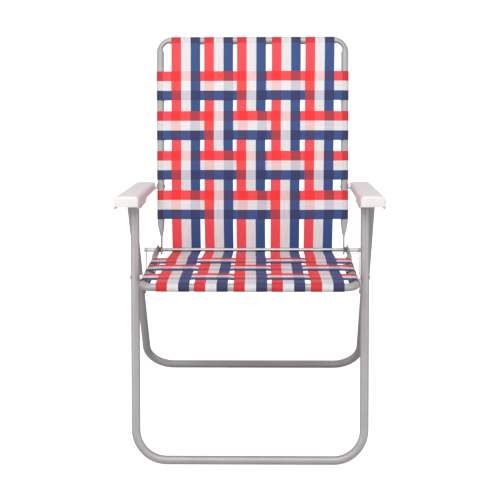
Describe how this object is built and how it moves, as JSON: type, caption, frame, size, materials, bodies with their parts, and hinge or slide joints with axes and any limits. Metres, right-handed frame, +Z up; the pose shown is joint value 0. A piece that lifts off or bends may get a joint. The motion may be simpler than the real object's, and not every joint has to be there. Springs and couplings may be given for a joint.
{
  "type": "folding webbed lawn chair",
  "caption": "Folding lawn chair with woven striped webbing on a bent-tube frame, moulded armrests and U-shaped legs that swing shut against the back.",
  "frame": {"origin": "on the floor, under the middle of the chair's width and depth", "axes": "+X to the right seen from the front, +Y to the rear, +Z up"},
  "size_m": [0.5796, 0.6178, 0.8315],
  "materials": {
    "frame_tube": "satin silver lacquer on drawn tube",
    "steel_fittings": "zinc-plated",
    "arm_plastic": "moulded, fine satin grain",
    "webbing": "woven plastic webbing, stripes of red, white and blue"
  },
  "bodies": {
    "back": {"back_frame": "frame_tube", "cross_rod": "steel_fittings", "rod_washer_left": "steel_fittings", "rod_washer_right": "steel_fittings", "rod_spacer_left": "arm_plastic", "rod_spacer_right": "arm_plastic", "rod_cap_left": "steel_fittings", "rod_cap_right": "steel_fittings", "back_arm_rivet_left": "steel_fittings", "back_arm_rivet_right": "steel_fittings", "arm_washer_left": "arm_plastic", "arm_washer_right": "arm_plastic", "back_strap_1": "webbing", "back_strap_2": "webbing", "back_strap_3": "webbing", "back_strap_4": "webbing", "back_strap_5": "webbing", "back_cross_strap_1": "webbing", "back_cross_strap_2": "webbing", "back_cross_strap_3": "webbing", "back_cross_strap_4": "webbing"},
    "seat": {"seat_frame": "frame_tube", "seat_pivot_rivet_left": "steel_fittings", "seat_pivot_rivet_right": "steel_fittings", "seat_spacer_left": "arm_plastic", "seat_spacer_right": "arm_plastic", "seat_strap_1": "webbing", "seat_strap_2": "webbing", "seat_strap_3": "webbing", "seat_strap_4": "webbing", "seat_strap_5": "webbing", "seat_cross_strap_1": "webbing", "seat_cross_strap_2": "webbing", "seat_cross_strap_3": "webbing"},
    "armrest_left": {"armrest_left": "arm_plastic", "front_leg_rivet_left": "steel_fittings", "rear_leg_rivet_left": "steel_fittings"},
    "armrest_right": {"armrest_right": "arm_plastic", "front_leg_rivet_right": "steel_fittings", "rear_leg_rivet_right": "steel_fittings"},
    "front_legs": {"front_leg_frame": "frame_tube"},
    "rear_legs": {"rear_leg_frame": "frame_tube", "link_rivet_left": "steel_fittings", "link_rivet_right": "steel_fittings"},
    "leg_link_left": {"leg_link_left": "steel_fittings", "link_rivet_head_left": "steel_fittings"},
    "leg_link_right": {"leg_link_right": "steel_fittings", "link_rivet_head_right": "steel_fittings"}
  },
  "joints": [
    {"name": "seat_fold", "type": "hinge", "parent": "back", "child": "seat", "pos_m": [0, 0.153, 0.33616], "axis": [-1, 0, 0], "range_deg": [0, 80]},
    {"name": "armrest_left_pivot", "type": "hinge", "parent": "back", "child": "armrest_left", "pos_m": [-0.236, 0.19764, 0.48459], "axis": [-1, 0, 0], "range_deg": [0, 80]},
    {"name": "armrest_right_pivot", "type": "hinge", "parent": "back", "child": "armrest_right", "pos_m": [0.236, 0.19764, 0.48459], "axis": [-1, 0, 0], "range_deg": [0, 80]},
    {"name": "front_leg_pivot", "type": "hinge", "parent": "armrest_left", "child": "front_legs", "pos_m": [0, -0.13967, 0.54098], "axis": [-1, 0, 0], "range_deg": [-80, 0]},
    {"name": "rear_leg_pivot", "type": "hinge", "parent": "armrest_left", "child": "rear_legs", "pos_m": [0, -0.03365, 0.52326], "axis": [-1, 0, 0], "range_deg": [-40, 0]},
    {"name": "leg_link_left_pivot", "type": "hinge", "parent": "back", "child": "leg_link_left", "pos_m": [-0.2595, 0.153, 0.33616], "axis": [-1, 0, 0], "range_deg": [0, 120]},
    {"name": "leg_link_right_pivot", "type": "hinge", "parent": "back", "child": "leg_link_right", "pos_m": [0.2595, 0.153, 0.33616], "axis": [-1, 0, 0], "range_deg": [0, 120]}
  ],
  "couplings": [
    {"joint": "armrest_left_pivot", "follows": "seat_fold", "ratio": 1},
    {"joint": "armrest_right_pivot", "follows": "seat_fold", "ratio": 1},
    {"joint": "front_leg_pivot", "follows": "seat_fold", "ratio": -1},
    {"joint": "rear_leg_pivot", "follows": "seat_fold", "ratio": -0.498},
    {"joint": "leg_link_left_pivot", "follows": "seat_fold", "ratio": 1.4972},
    {"joint": "leg_link_right_pivot", "follows": "seat_fold", "ratio": 1.4972}
  ]
}
